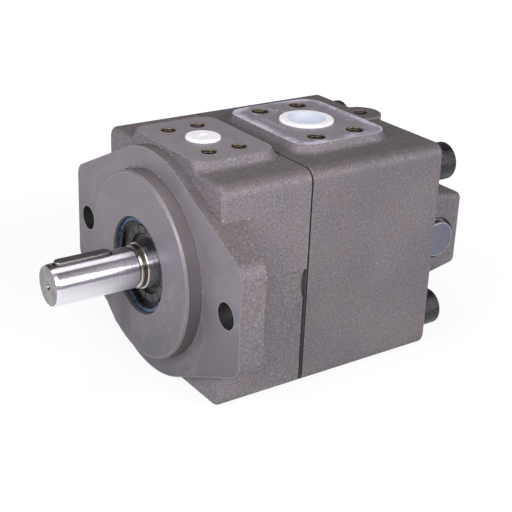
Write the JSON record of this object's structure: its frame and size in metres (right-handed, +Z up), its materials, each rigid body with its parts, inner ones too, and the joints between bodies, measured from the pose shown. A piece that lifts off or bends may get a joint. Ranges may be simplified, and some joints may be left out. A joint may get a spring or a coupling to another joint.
{
  "type": "hydraulic vane pump",
  "caption": "Balanced hydraulic vane pump: bolt-on flange with round pilot, keyed drive shaft, split cast body, suction and discharge port pads with closure plugs, vane cartridge inside.",
  "frame": {"origin": "centre of the mounting face on the shaft's axis", "axes": "+X along the shaft from the mounting face to the rear of the pump, so the shaft's free end points along -X; +Z up, towards the port pads; Y along the line of the two mounting holes"},
  "size_m": [0.2393, 0.1708, 0.1283],
  "materials": {
    "casting": "fine sand-cast skin under a thin dark oil film, machined faces smoother",
    "black_screw": "black oxide",
    "cartridge_steel": "ground",
    "cartridge_fastener": "machined",
    "polished_shaft": "ground and polished",
    "key_steel": "drawn",
    "bearing_steel": "polished",
    "cage_steel": "pressed",
    "spring_steel": "phosphated",
    "seal_rubber": "matt",
    "backup_plastic": "matt",
    "plug_steel": "zinc plated",
    "plug_washer": "zinc plated, with a bonded rubber seal",
    "white_plastic": "satin moulded polyethylene"
  },
  "bodies": {
    "pump_body": {"front_body": "casting", "rear_body": "casting", "cap_screws": "black_screw", "oil_seal": "seal_rubber", "seal_case": "spring_steel", "seal_spring": "spring_steel", "bearing_retaining_ring": "spring_steel", "bearing_outer_ring": "bearing_steel", "front_side_plate": "cartridge_steel", "cam_ring": "cartridge_steel", "rear_side_plate": "cartridge_steel", "cartridge_screws": "cartridge_fastener", "cartridge_dowels": "cartridge_fastener", "plate_o_ring": "seal_rubber", "plate_backup_ring": "backup_plastic", "hub_o_ring": "seal_rubber", "hub_backup_ring": "backup_plastic", "body_o_ring": "seal_rubber", "needle_cup": "bearing_steel", "gallery_plug": "plug_steel", "plug_washer": "plug_washer"},
    "shaft_rotor": {"drive_shaft": "polished_shaft", "shaft_key": "key_steel", "rotor": "cartridge_steel", "bearing_inner_ring": "bearing_steel", "shaft_retaining_ring": "spring_steel"},
    "ball_set": {"bearing_balls": "bearing_steel", "bearing_cage": "cage_steel"},
    "needle_set": {"needles": "bearing_steel", "needle_cage": "cage_steel"},
    "discharge_plug": {"discharge_port_plug": "white_plastic"},
    "suction_plug": {"suction_port_plug": "white_plastic"},
    "vane_01": {"vane_01": "cartridge_steel"},
    "vane_02": {"vane_02": "cartridge_steel"},
    "vane_03": {"vane_03": "cartridge_steel"},
    "vane_04": {"vane_04": "cartridge_steel"},
    "vane_05": {"vane_05": "cartridge_steel"},
    "vane_06": {"vane_06": "cartridge_steel"},
    "vane_07": {"vane_07": "cartridge_steel"},
    "vane_08": {"vane_08": "cartridge_steel"},
    "vane_09": {"vane_09": "cartridge_steel"},
    "vane_10": {"vane_10": "cartridge_steel"},
    "vane_11": {"vane_11": "cartridge_steel"},
    "vane_12": {"vane_12": "cartridge_steel"}
  },
  "joints": [
    {"name": "shaft_spin", "type": "hinge", "parent": "pump_body", "child": "shaft_rotor", "pos_m": [0, 0, 0], "axis": [1, 0, 0], "continuous": true},
    {"name": "ball_set_spin", "type": "hinge", "parent": "pump_body", "child": "ball_set", "pos_m": [0, 0, 0], "axis": [1, 0, 0], "continuous": true},
    {"name": "needle_set_spin", "type": "hinge", "parent": "pump_body", "child": "needle_set", "pos_m": [0, 0, 0], "axis": [1, 0, 0], "continuous": true},
    {"name": "discharge_plug_lift", "type": "slide", "parent": "pump_body", "child": "discharge_plug", "axis": [0, 0, 1], "range_m": [0, 0.02]},
    {"name": "suction_plug_lift", "type": "slide", "parent": "pump_body", "child": "suction_plug", "axis": [0, 0, 1], "range_m": [0, 0.025]},
    {"name": "vane_01_slide", "type": "slide", "parent": "shaft_rotor", "child": "vane_01", "axis": [0, 0.9659, 0.2588], "range_m": [-0.0006, 0.00351]},
    {"name": "vane_02_slide", "type": "slide", "parent": "shaft_rotor", "child": "vane_02", "axis": [0, 0.7071, 0.7071], "range_m": [-0.0006, 0.00187]},
    {"name": "vane_03_slide", "type": "slide", "parent": "shaft_rotor", "child": "vane_03", "axis": [0, 0.2588, 0.9659], "range_m": [-0.0006, 0.000225]},
    {"name": "vane_04_slide", "type": "slide", "parent": "shaft_rotor", "child": "vane_04", "axis": [0, -0.2588, 0.9659], "range_m": [-0.0006, 0.000225]},
    {"name": "vane_05_slide", "type": "slide", "parent": "shaft_rotor", "child": "vane_05", "axis": [0, -0.7071, 0.7071], "range_m": [-0.0006, 0.00187]},
    {"name": "vane_06_slide", "type": "slide", "parent": "shaft_rotor", "child": "vane_06", "axis": [0, -0.9659, 0.2588], "range_m": [-0.0006, 0.00351]},
    {"name": "vane_07_slide", "type": "slide", "parent": "shaft_rotor", "child": "vane_07", "axis": [0, -0.9659, -0.2588], "range_m": [-0.0006, 0.00351]},
    {"name": "vane_08_slide", "type": "slide", "parent": "shaft_rotor", "child": "vane_08", "axis": [0, -0.7071, -0.7071], "range_m": [-0.0006, 0.00187]},
    {"name": "vane_09_slide", "type": "slide", "parent": "shaft_rotor", "child": "vane_09", "axis": [0, -0.2588, -0.9659], "range_m": [-0.0006, 0.000225]},
    {"name": "vane_10_slide", "type": "slide", "parent": "shaft_rotor", "child": "vane_10", "axis": [0, 0.2588, -0.9659], "range_m": [-0.0006, 0.000225]},
    {"name": "vane_11_slide", "type": "slide", "parent": "shaft_rotor", "child": "vane_11", "axis": [0, 0.7071, -0.7071], "range_m": [-0.0006, 0.00187]},
    {"name": "vane_12_slide", "type": "slide", "parent": "shaft_rotor", "child": "vane_12", "axis": [0, 0.9659, -0.2588], "range_m": [-0.0006, 0.00351]}
  ],
  "couplings": [
    {"joint": "ball_set_spin", "follows": "shaft_spin", "ratio": 0.3969},
    {"joint": "needle_set_spin", "follows": "shaft_spin", "ratio": 0.444}
  ]
}
